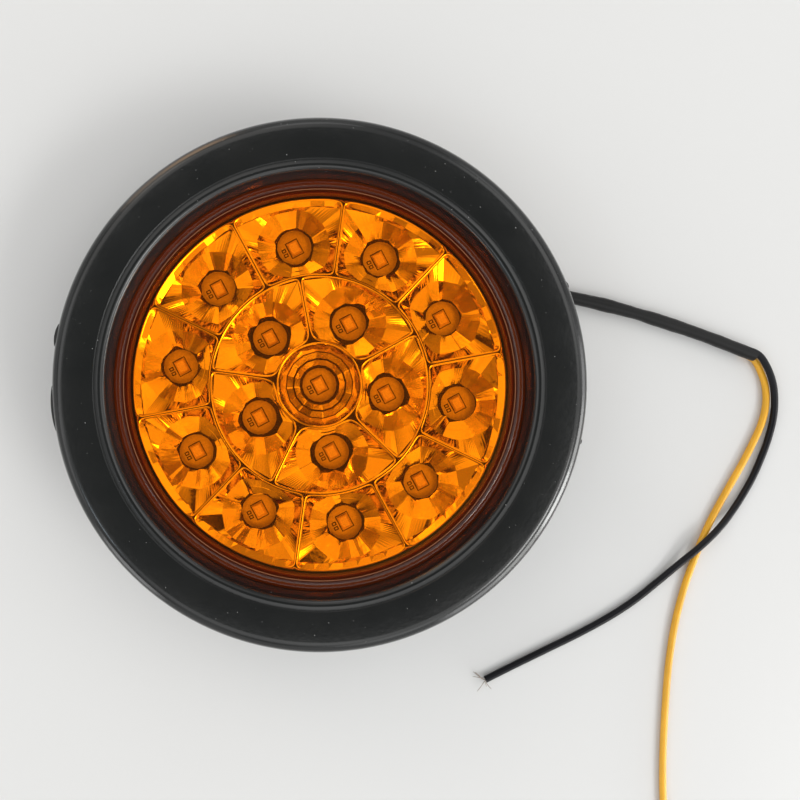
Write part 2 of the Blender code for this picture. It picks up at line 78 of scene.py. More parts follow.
# Levels and radii that the CAD gives
FLANGE_RADIUS = 68.5
FLANGE_TOP = 35.0
FLANGE_UNDERSIDE = 30.2
NECK_RADIUS = 57.0
GROOVE_BOTTOM = 25.2
GROMMET_REAR = 8.0
LAMP_FLANGE_RADIUS = 54.8
LAMP_FLANGE_BOTTOM = 24.6
DRUM_RADIUS = 50.4
DRUM_INNER_RADIUS = 49.2
DRUM_FLOOR = 9.0
BOSS_RADIUS = 36.0
BOSS_INNER_RADIUS = 34.2
HOUSING_WALL = 2.0
HOUSING_TOP = 27.0
LENS_RADIUS = 52.2
LENS_INNER_RADIUS = 50.2
LENS_FLANGE_TOP = 29.6
LENS_TOP = 32.0
LENS_THICKNESS = 2.0
WELD_PLANE = 27.3
BOARD_RADIUS = 48.0
BOARD_TOP = 21.2
BOARD_THICKNESS = 1.6
RIDGE_HEIGHT = 28.2
CUP_BOTTOM = 22.8

# Reflector: the ridges between its cups, and the LEDs' holes in the cups
CENTRE_RIDGE_RADIUS = 11.3
MIDDLE_RIDGE_RADIUS = 28.7
OUTER_RIDGE_RADIUS = 48.8
HOLE_RADIUS = 4.55
FIRST_SPOKE = 28.4
INNER_CUPS = 5
OUTER_CUPS = 10
INNER_PITCH = 360.0 / INNER_CUPS
OUTER_PITCH = 360.0 / OUTER_CUPS
INNER_LED_RADIUS = 18.3
OUTER_LED_RADIUS = 37.45

# LEDs
LED_LENGTH = 3.5
LED_WIDTH = 2.8
LED_BASE = 21.35
LED_HEIGHT = 0.8
LED_TURN = 118.0

# Lead
SLEEVE_HALF_WIDTH = 1.8
SLEEVE_HALF_HEIGHT = 2.15
WIRE_DIAMETER = 2.0
STRAND_RADIUS = 0.10

# The sleeve's bulges and pinches: distance along it, width, and share of its width
SLEEVE_SWELLS = ((50.0, 4.0, 0.10), (60.0, 3.0, -0.07), (68.0, 6.0, 0.06), (80.0, 3.5, -0.04))

# Centre lines of the sleeve and the two wires, lying on the table
SLEEVE_ROUTE = (
    (35.8, 20.65, 5.2),
    (39.4, 22.7, 5.0),
    (43.5, 24.7, 4.45),
    (48.0, 26.4, 3.7),
    (53.0, 27.5, 2.95),
    (58.3, 27.9, 2.5),
    (63.8, 27.6, 2.3),
    (69.6, 26.7, 2.2),
    (75.6, 25.4, 2.2),
    (84.3, 23.4, 2.2),
    (94.2, 20.7, 2.2),
    (105.2, 17.2, 2.2),
    (114.6, 13.9, 2.2),
    (121.6, 11.2, 2.2),
    (128.0, 8.7, 2.2),
)
BLACK_ROUTE = (
    (128.6, 8.9, 3.2),
    (131.4, 4.9, 3.05),
    (133.3, -0.1, 2.6),
    (134.0, -5.4, 2.0),
    (133.8, -10.7, 1.4),
    (132.5, -16.3, 1.1),
    (130.4, -22.0, 1.05),
    (127.8, -27.8, 1.05),
    (124.3, -33.8, 1.15),
    (120.3, -39.0, 1.9),
    (116.7, -42.7, 2.8),
    (113.0, -46.1, 3.2),
    (109.6, -49.3, 2.8),
    (106.0, -52.7, 1.9),
    (99.9, -58.2, 1.15),
    (93.2, -63.6, 1.05),
    (85.9, -68.4, 1.05),
    (77.0, -73.3, 1.05),
    (66.6, -78.4, 1.05),
    (57.4, -82.9, 1.05),
    (49.0, -87.1, 1.05),
)
YELLOW_ROUTE = (
    (128.3, 7.5, 1.15),
    (130.6, 3.6, 1.05),
    (131.9, -0.9, 1.05),
    (131.9, -6.2, 1.05),
    (130.6, -11.6, 1.05),
    (128.2, -17.0, 1.05),
    (125.4, -22.5, 1.05),
    (122.3, -28.0, 1.05),
    (118.9, -34.0, 1.05),
    (115.6, -40.2, 1.05),
    (112.7, -46.7, 1.05),
    (110.2, -53.1, 1.05),
    (107.8, -60.0, 1.05),
    (105.8, -67.4, 1.05),
    (104.3, -75.0, 1.05),
    (103.2, -83.0, 1.05),
    (102.5, -91.0, 1.05),
    (102.0, -99.0, 1.05),
    (101.6, -107.5, 1.05),
    (101.5, -116.5, 1.05),
    (101.7, -126.0, 1.05),
)

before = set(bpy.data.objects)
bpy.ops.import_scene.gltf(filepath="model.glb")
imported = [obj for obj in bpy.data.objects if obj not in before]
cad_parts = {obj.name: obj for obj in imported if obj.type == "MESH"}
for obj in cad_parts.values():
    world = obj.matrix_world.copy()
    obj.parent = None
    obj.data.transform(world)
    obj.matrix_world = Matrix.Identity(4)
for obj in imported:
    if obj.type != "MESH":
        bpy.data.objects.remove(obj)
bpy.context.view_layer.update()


# ---------------------------------------------------------------- helpers


def polar(radius, degrees, height=0.0):
    """The point at a distance from the Z axis, an angle from +X and a height."""
    angle = math.radians(degrees)
    return Vector((radius * math.cos(angle), radius * math.sin(angle), height))


def smooth_points(route, spacing):
    """Points about spacing apart on a Catmull-Rom curve through the route's own points."""
    knots = [Vector(p) for p in route]
    ends = [2 * knots[0] - knots[1], *knots, 2 * knots[-1] - knots[-2]]
    fine = []
    for i in range(1, len(ends) - 2):
        before, start, end, after = ends[i - 1 : i + 3]
        for step in range(24):
            t = step / 24
            fine.append(
                0.5
                * (
                    2 * start
                    + (end - before) * t
                    + (2 * before - 5 * start + 4 * end - after) * t**2
                    + (3 * start - before - 3 * end + after) * t**3
                )
            )
    fine.append(knots[-1])
    reach = [0.0]
    for a, b in zip(fine, fine[1:]):
        reach.append(reach[-1] + (b - a).length)
    count = round(reach[-1] / spacing)
    points = []
    at = 0
    for i in range(count + 1):
        wanted = reach[-1] * i / count
        while at < len(reach) - 2 and reach[at + 1] < wanted:
            at += 1
        share = (wanted - reach[at]) / (reach[at + 1] - reach[at])
        points.append(fine[at].lerp(fine[at + 1], min(share, 1.0)))
    return points


def add_object(name, data):
    obj = bpy.data.objects.new(name, data)
    bpy.context.scene.collection.objects.link(obj)
    return obj


def make_mesh(name, grid, looks):
    """Turns a bmesh in millimetres into a mesh in metres, and frees the bmesh."""
    bmesh.ops.scale(grid, vec=(MM, MM, MM), verts=grid.verts)
    mesh = bpy.data.meshes.new(name)
    grid.to_mesh(mesh)
    grid.free()
    for look in looks:
        mesh.materials.append(look)
    return mesh


def finish_mesh(name, grid, looks, sharp_degrees=None):
    """Turns a bmesh in millimetres into an object, smooth but for edges sharper than sharp_degrees."""
    mesh = make_mesh(name, grid, looks)
    mesh.shade_smooth()
    if sharp_degrees is not None:
        mesh.set_sharp_from_angle(angle=math.radians(sharp_degrees))
    return add_object(name, mesh)


def fillet(corners, closed=True, steps=6):
    """An outline from (radius, height, fillet radius) corners, with each corner rounded by an arc."""
    count = len(corners)
    outline = []
    for i, (radius, height, rounding) in enumerate(corners):
        here = Vector((radius, height))
        if rounding <= 0 or (not closed and i in (0, count - 1)):
            outline.append(here)
            continue
        before = Vector(corners[i - 1][:2])
        after = Vector(corners[(i + 1) % count][:2])
        back = (before - here).normalized()
        ahead = (after - here).normalized()
        half = math.acos(max(-1.0, min(1.0, back.dot(ahead)))) / 2
        centre = here + (back + ahead).normalized() * (rounding / math.sin(half))
        first = here + back * (rounding / math.tan(half)) - centre
        last = here + ahead * (rounding / math.tan(half)) - centre
        turn = first.angle_signed(last)
        for step in range(steps + 1):
            angle = -turn * step / steps
            x = first.x * math.cos(angle) - first.y * math.sin(angle)
            y = first.x * math.sin(angle) + first.y * math.cos(angle)
            outline.append(centre + Vector((x, y)))
    return outline


def turned_grid(outline, closed=True, segments=256, slot_of=None):
    """A bmesh turned about Z. An open outline that starts and ends on the axis closes there."""
    grid = bmesh.new()
    rings = []
    for radius, height in outline:
        if not closed and radius < 1e-6:
            rings.append([grid.verts.new((0.0, 0.0, height))])
            continue
        rings.append([grid.verts.new(polar(radius, 360.0 * s / segments, height)) for s in range(segments)])
    pairs = list(zip(rings, rings[1:]))
    if closed:
        pairs.append((rings[-1], rings[0]))
    for index, (upper, lower) in enumerate(pairs):
        for s in range(segments):
            t = (s + 1) % segments
            if len(upper) == 1:
                corners = (upper[0], lower[s], lower[t])
            elif len(lower) == 1:
                corners = (upper[s], lower[0], upper[t])
            else:
                corners = (upper[s], lower[s], lower[t], upper[t])
            face = grid.faces.new(corners)
            if slot_of is not None:
                face.material_index = slot_of(index)
    bmesh.ops.recalc_face_normals(grid, faces=grid.faces)
    return grid


def ride_for(piece, body, slot_name, *nodes):
    """Puts a piece on a body, in place of the CAD's nodes. slot_name is not used."""
    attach(piece, body)
    if nodes:
        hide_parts(*nodes)
    return piece


# ---------------------------------------------------------------- materials


class Look:
    """A material with a Principled shader, and short ways to add nodes to it."""

    def __init__(self, name, colour, roughness, metallic=0.0, **sockets):
        self.material = bpy.data.materials.new(name)
        self.material.use_nodes = True
        self.nodes = self.material.node_tree.nodes
        self.links = self.material.node_tree.links
        self.shader = self.nodes["Principled BSDF"]
        self.output = self.nodes["Material Output"]
        self.shader.inputs["Base Color"].default_value = (*colour, 1.0)
        self.shader.inputs["Roughness"].default_value = roughness
        self.shader.inputs["Metallic"].default_value = metallic
        for socket, value in sockets.items():
            self.shader.inputs[socket.replace("_", " ")].default_value = value
        self.material.diffuse_color = (*colour, 1.0)

    def node(self, kind, **settings):
        """A new node. Each setting is an input's value or, failing that, a property."""
        made = self.nodes.new(kind)
        for key, value in settings.items():
            if key in made.inputs:
                made.inputs[key].default_value = value
            else:
                setattr(made, key, value)
        return made

    def place(self):
        return self.node("ShaderNodeTexCoord").outputs["Object"]

    def noise(self, scale, detail=4.0, roughness=0.5):
        made = self.node("ShaderNodeTexNoise", Scale=scale, Detail=detail, Roughness=roughness)
        self.links.new(self.place(), made.inputs["Vector"])
        return made.outputs["Fac"]

    def ramp(self, source, stops):
        """source, from 0..1 to colours, each with the position that it has."""
        made = self.node("ShaderNodeValToRGB")
        marks = made.color_ramp.elements
        while len(marks) < len(stops):
            marks.new(0.5)
        for mark, (position, colour) in zip(marks, stops):
            mark.position = position
            mark.color = (*colour, 1.0)
        self.links.new(source, made.inputs["Fac"])
        return made.outputs["Color"]

    def spread(self, source, low, high):
        """source, taken from 0..1 to low..high."""
        made = self.node("ShaderNodeMapRange")
        made.inputs["To Min"].default_value = low
        made.inputs["To Max"].default_value = high
        self.links.new(source, made.inputs["Value"])
        return made.outputs["Result"]

    def bump(self, height, strength, distance):
        made = self.node("ShaderNodeBump", Strength=strength, Distance=distance)
        self.links.new(height, made.inputs["Height"])
        self.links.new(made.outputs["Normal"], self.shader.inputs["Normal"])
        return made

    def drive(self, socket, source):
        self.links.new(source, self.shader.inputs[socket])


def rubber_look():
    """Satin black moulded rubber, with bloom in faint clouds and pale dust specks."""
    look = Look("grommet_rubber", (0.012, 0.013, 0.013), 0.16)
    clouds = look.noise(60.0, 5.0)
    dust = look.noise(1900.0, 1.0)
    cloudy = look.ramp(clouds, ((0.3, (0.0100, 0.0110, 0.0110)), (0.75, (0.0140, 0.0147, 0.0143))))
    specks = look.ramp(dust, ((0.80, (0.0, 0.0, 0.0)), (0.82, (1.0, 1.0, 1.0))))
    mix = look.node("ShaderNodeMix", data_type="RGBA")
    look.links.new(specks, mix.inputs["Factor"])
    look.links.new(cloudy, mix.inputs["A"])
    mix.inputs["B"].default_value = (0.35, 0.35, 0.34, 1.0)
    look.drive("Base Color", mix.outputs["Result"])
    look.drive("Roughness", look.spread(look.noise(140.0, 4.0), 0.12, 0.22))
    look.bump(look.noise(700.0, 3.0), 0.12, 0.0002)
    return look.material


def amber_look(name, tint, painted_colour=None, painted_share=0.0):
    """Clear amber plastic: tinted light goes straight through it, and it shines. A diffuse colour may be
    mixed in, painted shade on the lens's skirt and a painted highlight on its fine ring."""
    look = Look(name, tint, 0.06)
    look.nodes.remove(look.shader)
    clear = look.node("ShaderNodeBsdfTransparent", Color=(*tint, 1.0))
    body = clear.outputs[0]
    # the mixed-in diffuse colour is painted light: shade on the skirt, a highlight on the fine ring
    if painted_share > 0:
        painted_diffuse = look.node("ShaderNodeBsdfDiffuse", Color=(*painted_colour, 1.0))
        blend = look.node("ShaderNodeMixShader", Fac=painted_share)
        look.links.new(clear.outputs[0], blend.inputs[1])
        look.links.new(painted_diffuse.outputs[0], blend.inputs[2])
        body = blend.outputs[0]
    shine = look.node("ShaderNodeBsdfGlossy", Color=(1.0, 1.0, 1.0, 1.0), Roughness=0.05)
    facing = look.node("ShaderNodeLayerWeight", Blend=0.5)
    grazing = look.node("ShaderNodeMath", operation="POWER")
    look.links.new(facing.outputs["Facing"], grazing.inputs[0])
    grazing.inputs[1].default_value = 5.0
    edge = look.spread(grazing.outputs[0], 0.035, 1.0)
    top = look.node("ShaderNodeMixShader")
    look.links.new(edge, top.inputs[0])
    look.links.new(body, top.inputs[1])
    look.links.new(shine.outputs[0], top.inputs[2])
    look.links.new(top.outputs[0], look.output.inputs["Surface"])
    return look.material


def mirror_look():
    """Vacuum metallised plastic, with the sink and ripple of the moulding under it."""
    look = Look("metallised_plastic", (0.95, 0.78, 0.55), 0.07, 1.0)
    look.drive("Roughness", look.spread(look.noise(400.0, 3.0), 0.04, 0.12))
    ripple = look.bump(look.noise(260.0, 2.0), 0.16, 0.0003)
    fine = look.node("ShaderNodeBump", Strength=0.05, Distance=0.0001)
    look.links.new(look.noise(1400.0, 2.0), fine.inputs["Height"])
    look.links.new(fine.outputs["Normal"], ripple.inputs["Normal"])
    return look.material


def plastic_look(name, colour, roughness, grain=900.0, specular=0.5):
    """Moulded plastic with a fine grain and a little variation in shine."""
    look = Look(name, colour, roughness, Specular_IOR_Level=specular)
    lighter = tuple(min(1.0, c * 1.35 + 0.002) for c in colour)
    look.drive("Base Color", look.ramp(look.noise(90.0, 4.0), ((0.3, colour), (0.8, lighter))))
    look.drive("Roughness", look.spread(look.noise(200.0, 3.0), roughness - 0.06, roughness + 0.08))
    look.bump(look.noise(grain, 2.0), 0.15, 0.0001)
    return look.material


def metal_look(name, colour, roughness):
    look = Look(name, colour, roughness, 1.0)
    look.drive("Roughness", look.spread(look.noise(800.0, 3.0), roughness - 0.08, roughness + 0.12))
    return look.material


def glow_look(name, colour, roughness, painted_glow=0.0):
    """A small coloured part, such as phosphor gel: even, with a faint mottle. Its last argument gives it a
    painted glow in its own colour, shining whatever light falls on it.
    """
    look = Look(name, colour, roughness)
    # painted glow: emission in the part's own colour
    if painted_glow:
        look.shader.inputs["Emission Color"].default_value = (*colour, 1.0)
        look.shader.inputs["Emission Strength"].default_value = painted_glow
    darker = tuple(c * 0.85 for c in colour)
    look.drive("Base Color", look.ramp(look.noise(1500.0, 3.0), ((0.35, darker), (0.7, colour))))
    return look.material


RUBBER = rubber_look()
AMBER = amber_look("amber_clear", (0.98, 0.722, 0.22))
# The lens's skirt and flange: a darker copy of the clear amber, painted shade
AMBER_SKIRT_PAINTED_SHADE = amber_look("amber_skirt_painted_shade", (0.90, 0.48, 0.18), (0.50, 0.13, 0.03), 0.13)
# The fine ring round the lens's face: paler amber with much diffuse colour, a painted highlight
AMBER_RING_PAINTED_HIGHLIGHT = amber_look("amber_ring_painted_highlight", (0.9, 0.6, 0.3), (0.55, 0.25, 0.12), 0.40)
MIRROR = mirror_look()
BLACK_PLASTIC = plastic_look("housing_plastic", (0.013, 0.013, 0.014), 0.38)
BOARD = glow_look("board_mask", (0.86, 0.64, 0.38), 0.4)
PRINT = glow_look("board_print", (0.05, 0.04, 0.03), 0.5)
LED_BODY = glow_look("led_body", (0.92, 0.60, 0.36), 0.35)
# The phosphor's glow is painted light that brightens the LEDs deep in the cups
PHOSPHOR = glow_look("led_phosphor", (0.98, 0.66, 0.34), 0.25, 0.13)
ZINC = metal_look("zinc_plate", (0.72, 0.71, 0.68), 0.28)
COMPONENT = plastic_look("component_body", (0.02, 0.02, 0.022), 0.45)
SLEEVE = plastic_look("sleeve_rubber", (0.008, 0.008, 0.008), 0.36, 500.0, 0.22)
BLACK_PVC = plastic_look("black_insulation", (0.005, 0.005, 0.007), 0.33, 700.0, 0.22)
YELLOW_PVC = plastic_look("yellow_insulation", (0.72, 0.36, 0.02), 0.36, 700.0)
COPPER = metal_look("tinned_copper", (0.34, 0.29, 0.25), 0.35)


# ---------------------------------------------------------------- camera, light and floor


def make_camera():
    data = bpy.data.cameras.new("camera")
    data.lens = CAMERA_LENS
    data.shift_x, data.shift_y = CAMERA_SHIFT
    data.clip_start = 0.01
    camera = add_object("camera", data)
    camera.location = (0.0, 0.0, CAMERA_HEIGHT * MM)
    bpy.context.scene.camera = camera


def make_world():
    """A pale room: bright walls and windows all round, and a dark patch straight overhead. They show only
    in what they light: behind the object the room is plain."""
    world = bpy.data.worlds.new("room")
    world.use_nodes = True
    nodes, links = world.node_tree.nodes, world.node_tree.links
    place = nodes.new("ShaderNodeTexCoord").outputs["Generated"]

    def scaled(colour, factor):
        product = nodes.new("ShaderNodeVectorMath")
        product.operation = "SCALE"
        product.inputs[0].default_value = colour
        links.new(factor, product.inputs["Scale"])
        return product.outputs["Vector"]

    def patch(azimuth, elevation, half_angle, softness):
        """1 inside a round patch of the sky, falling smoothly to 0."""
        towards = nodes.new("ShaderNodeVectorMath")
        towards.operation = "DOT_PRODUCT"
        level = math.radians(elevation)
        towards.inputs[1].default_value = polar(math.cos(level), azimuth, math.sin(level))
        links.new(place, towards.inputs[0])
        fall = nodes.new("ShaderNodeMapRange")
        fall.interpolation_type = "SMOOTHSTEP"
        fall.inputs["From Min"].default_value = math.cos(math.radians(half_angle + softness))
        fall.inputs["From Max"].default_value = math.cos(math.radians(half_angle))
        links.new(towards.outputs["Value"], fall.inputs["Value"])
        return fall.outputs["Result"]

    total = None
    for azimuth, elevation, half_angle, softness, colour in ROOM_PATCHES:
        light = scaled(colour, patch(azimuth, elevation, half_angle, softness))
        joined = nodes.new("ShaderNodeVectorMath")
        joined.operation = "ADD"
        joined.inputs[0].default_value = ROOM_COLOUR
        if total is not None:
            links.new(total, joined.inputs[0])
        links.new(light, joined.inputs[1])
        total = joined.outputs["Vector"]
    lightest = nodes.new("ShaderNodeVectorMath")
    lightest.operation = "MAXIMUM"
    links.new(total, lightest.inputs[0])
    lightest.inputs[1].default_value = OVERHEAD_COLOUR
    plain = nodes.new("ShaderNodeMix")
    plain.data_type = "RGBA"
    links.new(nodes.new("ShaderNodeLightPath").outputs["Is Camera Ray"], plain.inputs["Factor"])
    links.new(lightest.outputs["Vector"], plain.inputs["A"])
    plain.inputs["B"].default_value = (*ROOM_COLOUR, 1.0)
    links.new(plain.outputs["Result"], nodes["Background"].inputs["Color"])
    bpy.context.scene.world = world


def make_floor():
    grid = bmesh.new()
    bmesh.ops.create_grid(grid, x_segments=1, y_segments=1, size=1500.0)
    look = Look("table", (0.67, 0.67, 0.665), 0.3)
    look.drive("Roughness", look.spread(look.noise(8.0, 3.0), 0.25, 0.4))
    floor = finish_mesh("floor", grid, (look.material,))


# ---------------------------------------------------------------- lead


def cord_frame(points, index):
    """Directions across a cord and out of it, at one of its points."""
    along = (points[min(index + 1, len(points) - 1)] - points[max(index - 1, 0)]).normalized()
    across = Vector((-along.y, along.x, 0.0)).normalized()
    upward = along.cross(across).normalized()
    if upward.z < 0:
        upward.negate()
    return across, upward


def sleeve_swell(distance):
    """How much wider than even the sleeve is at a distance along it: its bulges, pinches and wrinkles."""
    swell = 1.0
    for centre, width, amount in SLEEVE_SWELLS:
        swell += amount * math.exp(-(((distance - centre) / width) ** 2))
    return swell + 0.015 * math.sin(distance * 0.9) + 0.01 * math.sin(distance * 2.3 + 1.0)


def make_sleeve():
    """The black sleeve: an oval tube with soft wrinkles and an open far end that the wires come out of."""
    sides, step, wall, mouth = 32, 0.8, 0.35, 6.0
    points = smooth_points(SLEEVE_ROUTE, step)
    grid = bmesh.new()

    def ring(index, shrink):
        across, upward = cord_frame(points, index)
        swell = sleeve_swell(index * step)
        made = []
        for side in range(sides):
            angle = math.tau * side / sides
            width = (SLEEVE_HALF_WIDTH * swell - shrink) * math.cos(angle)
            height = (SLEEVE_HALF_HEIGHT - shrink) * math.sin(angle)
            made.append(grid.verts.new(points[index] + across * width + upward * height))
        return made

    last = len(points) - 1
    inside = last - round(mouth / step)
    rings = [ring(i, 0.0) for i in range(last + 1)]
    rings += [ring(i, wall) for i in range(last, inside - 1, -1)]
    for a, b in zip(rings, rings[1:]):
        for side in range(sides):
            following = (side + 1) % sides
            grid.faces.new((a[side], a[following], b[following], b[side]))
    grid.faces.new(rings[0])
    grid.faces.new(list(reversed(rings[-1])))
    bmesh.ops.recalc_face_normals(grid, faces=grid.faces)
    sleeve = finish_mesh("sleeve_tube", grid, (SLEEVE,), 60)
    ride_for(sleeve, "lamp", "sleeve_rubber", "lead_sleeve")


def make_wire(name, route, inside, look, slot_name, node):
    """A wire as a curve. inside are points that take it back into the sleeve's mouth."""
    points = smooth_points((*inside, *route), 1.0)
    curve = bpy.data.curves.new(name, "CURVE")
    curve.dimensions = "3D"
    curve.bevel_depth = WIRE_DIAMETER / 2 * MM
    curve.bevel_resolution = 6
    curve.use_fill_caps = True
    spline = curve.splines.new("POLY")
    spline.points.add(len(points) - 1)
    for target, point in zip(spline.points, points):
        target.co = (*(point * MM), 1.0)
    curve.materials.append(look)
    wire = add_object(name, curve)
    ride_for(wire, "lamp", slot_name, node)


def make_strands(name, route, node, seed, count, spread_degrees):
    """The bared copper at a wire's end: a few fine strands that fan out."""
    rng = random.Random(seed)
    tip = Vector(route[-1])
    along = tip - Vector(route[-2])
    along.z = 0.0
    along.normalize()
    across = Vector((-along.y, along.x, 0.0))
    grid = bmesh.new()
    sides, joints = 6, 8
    for number in range(count):
        way = 2.0 * number / (count - 1) - 1.0
        lean = math.radians(spread_degrees) * math.copysign(abs(way) ** 0.5, way) + rng.uniform(-0.1, 0.1)
        rise = rng.uniform(-0.12, 0.3)
        length = rng.uniform(2.8, 5.2)
        curl = rng.uniform(-0.35, 0.35)
        start = tip + across * rng.uniform(-0.4, 0.4) + Vector((0.0, 0.0, rng.uniform(-0.3, 0.4)))
        previous = None
        point = start - along * 0.6
        for joint in range(joints):
            share = joint / (joints - 1)
            heading = lean * min(1.0, share * 2.0) + curl * share
            step = (along * math.cos(heading) + across * math.sin(heading)).normalized()
            step.z = rise * (1.0 - share)
            if joint:
                point = point + step * (length / (joints - 1))
            point.z = max(point.z, 0.12)
            side_way = Vector((-step.y, step.x, 0.0)).normalized()
            up_way = step.cross(side_way).normalized()
            radius = STRAND_RADIUS if joint < joints - 1 else STRAND_RADIUS / 2
            ring = []
            for side in range(sides):
                angle = math.tau * side / sides
                offset = side_way * (radius * math.cos(angle)) + up_way * (radius * math.sin(angle))
                ring.append(grid.verts.new(point + offset))
            if previous is None:
                grid.faces.new(ring)
            else:
                for side in range(sides):
                    following = (side + 1) % sides
                    grid.faces.new((previous[side], previous[following], ring[following], ring[side]))
            previous = ring
        grid.faces.new(list(reversed(previous)))
    bmesh.ops.recalc_face_normals(grid, faces=grid.faces)
    fan = finish_mesh(name, grid, (COPPER,))
    return ride_for(fan, "lamp", "tinned_copper", node)


def make_lead():
    make_sleeve()
    black_end = make_strands("black_strand_fan", BLACK_ROUTE, "black_strands", 5, 6, 85)
    yellow_end = make_strands("yellow_strand_fan", YELLOW_ROUTE, "yellow_strands", 8, 7, 25)
    make_wire(
        "wire_black",
        BLACK_ROUTE,
        ((124.0, 10.9, 2.9),),
        BLACK_PVC,
        "black_insulation",
        "black_wire",
    )
    make_wire(
        "wire_yellow",
        YELLOW_ROUTE,
        ((124.0, 9.7, 1.4),),
        YELLOW_PVC,
        "yellow_insulation",
        "yellow_wire",
    )


# ---------------------------------------------------------------- grommet, lens and housing


CLEARANCE = 0.3  # between the lamp and its seat in the grommet

# The bead at the grommet's mouth, in section
BEAD_CENTRE = 56.1
BEAD_LEVEL = FLANGE_TOP - 1.68
BEAD_RADIUS = 1.5

# Slivers of flash on the flange's edge: first and last angle, and how far they stand out
FLASH_SLIVERS = ((166.5, 172.0, 0.9), (179.5, 190.5, 0.8), (21.0, 23.0, 0.5), (347.0, 348.5, 0.5))
FLASH_STEPS = 12


def make_grommet():
    """The rubber ring. A rounded bead runs round its mouth, a little below the flat face."""
    bead = []
    for degrees in range(190, 65, -10):
        angle = math.radians(degrees)
        radius = BEAD_CENTRE + BEAD_RADIUS * math.cos(angle)
        bead.append((radius, BEAD_LEVEL + BEAD_RADIUS * math.sin(angle), 0.0))
    seat_radius = LAMP_FLANGE_RADIUS + CLEARANCE
    seat_bottom = LAMP_FLANGE_BOTTOM - CLEARANCE
    seat_top = LENS_FLANGE_TOP + CLEARANCE
    bore_radius = DRUM_RADIUS + CLEARANCE
    corners = (
        *bead,
        # the flange's face and rim
        (57.35, FLANGE_TOP - 0.3, 0.1),
        (57.4, FLANGE_TOP, 0.12),
        (66.0, FLANGE_TOP, 3.0),
        (67.9, 33.7, 2.4),
        (FLANGE_RADIUS, 32.4, 0.8),
        (FLANGE_RADIUS, FLANGE_UNDERSIDE, 1.4),
        # the panel's groove, and the rear lip
        (NECK_RADIUS, FLANGE_UNDERSIDE, 0.5),
        (NECK_RADIUS, GROOVE_BOTTOM, 0.5),
        (61.0, GROOVE_BOTTOM, 0.9),
        (60.6, 20.5, 3.0),
        (57.2, 13.5, 4.0),
        (55.3, GROMMET_REAR, 0.9),
        # the bore, the seat for the lamp's flange, and the lip over it
        (bore_radius, GROMMET_REAR, 0.7),
        (bore_radius, seat_bottom, 0.2),
        (seat_radius, seat_bottom, 0.2),
        (seat_radius, seat_top, 0.2),
        (53.2, seat_top, 0.3),
        (53.4, 31.0, 0.6),
    )
    grid = turned_grid(fillet(corners, steps=10), segments=360)
    piece = finish_mesh("grommet_rubber", grid, (RUBBER,), 50)
    ride_for(piece, "grommet", "black_rubber", "grommet")


def make_flash():
    """Slivers of moulding flash left on the flange's edge."""
    grid = bmesh.new()
    root = FLANGE_RADIUS - 0.5
    for start, end, proud in FLASH_SLIVERS:
        rows = []
        for i in range(FLASH_STEPS + 1):
            share = i / FLASH_STEPS
            angle = start + (end - start) * share
            reach = FLANGE_RADIUS - 0.05 + proud * math.sin(math.pi * share) ** 0.5
            section = ((root, 31.9), (reach, 31.75), (reach, 31.6), (root, 31.3))
            rows.append([grid.verts.new(polar(radius, angle, height)) for radius, height in section])
        for a, b in zip(rows, rows[1:]):
            for i in range(4):
                j = (i + 1) % 4
                grid.faces.new((a[i], b[i], b[j], a[j]))
        grid.faces.new(rows[0])
        grid.faces.new(list(reversed(rows[-1])))
    bmesh.ops.recalc_face_normals(grid, faces=grid.faces)
    piece = finish_mesh("moulding_flash", grid, (RUBBER,), 30)
    ride_for(piece, "grommet", "black_rubber")


# The lens's flat face ends in a fine ring with a painted highlight, and its skirt, darkened as painted
# shade, goes in to a foot on the housing
LENS_FLAT_RADIUS = 50.2
LENS_HIGHLIGHT_RING_WIDTH = 0.2
LENS_FOOT_RADIUS = 49.5


def make_lens():
    """The amber cover: a clear flat face, a fine ring round it painted lighter as a painted highlight, and
    a skirt and flange painted darker as painted shade.
    """
    inside = LENS_TOP - LENS_THICKNESS
    corners = (
        (0.0, LENS_TOP, 0.0),
        (LENS_FLAT_RADIUS, LENS_TOP, 0.0),
        (LENS_FLAT_RADIUS + LENS_HIGHLIGHT_RING_WIDTH, LENS_TOP - 0.02, 0.0),
        (LENS_RADIUS, LENS_TOP - 0.02, 1.2),
        (LENS_RADIUS, LENS_FLANGE_TOP, 0.2),
        (LAMP_FLANGE_RADIUS, LENS_FLANGE_TOP, 0.3),
        (LAMP_FLANGE_RADIUS, WELD_PLANE, 0.2),
        (LENS_FOOT_RADIUS, WELD_PLANE, 0.1),
        (LENS_FOOT_RADIUS, WELD_PLANE + 0.6, 0.1),
        (LENS_INNER_RADIUS, WELD_PLANE + 0.8, 0.1),
        (LENS_INNER_RADIUS, inside, 0.7),
        (0.0, inside, 0.0),
    )
    outline = fillet(corners, closed=False, steps=6)
    # Slots: clear amber, the skirt in painted shade, and the fine ring with a painted highlight
    clear, edge, line = range(3)

    def slot_of(index):
        middle = (outline[index] + outline[index + 1]) / 2
        highlight_ring_end = LENS_FLAT_RADIUS + LENS_HIGHLIGHT_RING_WIDTH
        if middle.y > LENS_TOP - 0.3 and LENS_FLAT_RADIUS < middle.x < highlight_ring_end:
            return line
        return edge if middle.x > LENS_FOOT_RADIUS - 0.05 and middle.y < LENS_TOP - 0.05 else clear

    grid = turned_grid(outline, closed=False, segments=360, slot_of=slot_of)
    piece = finish_mesh("amber_cover", grid, (AMBER, AMBER_SKIRT_PAINTED_SHADE, AMBER_RING_PAINTED_HIGHLIGHT), 50)
    ride_for(piece, "lamp", "amber_lens", "lens")


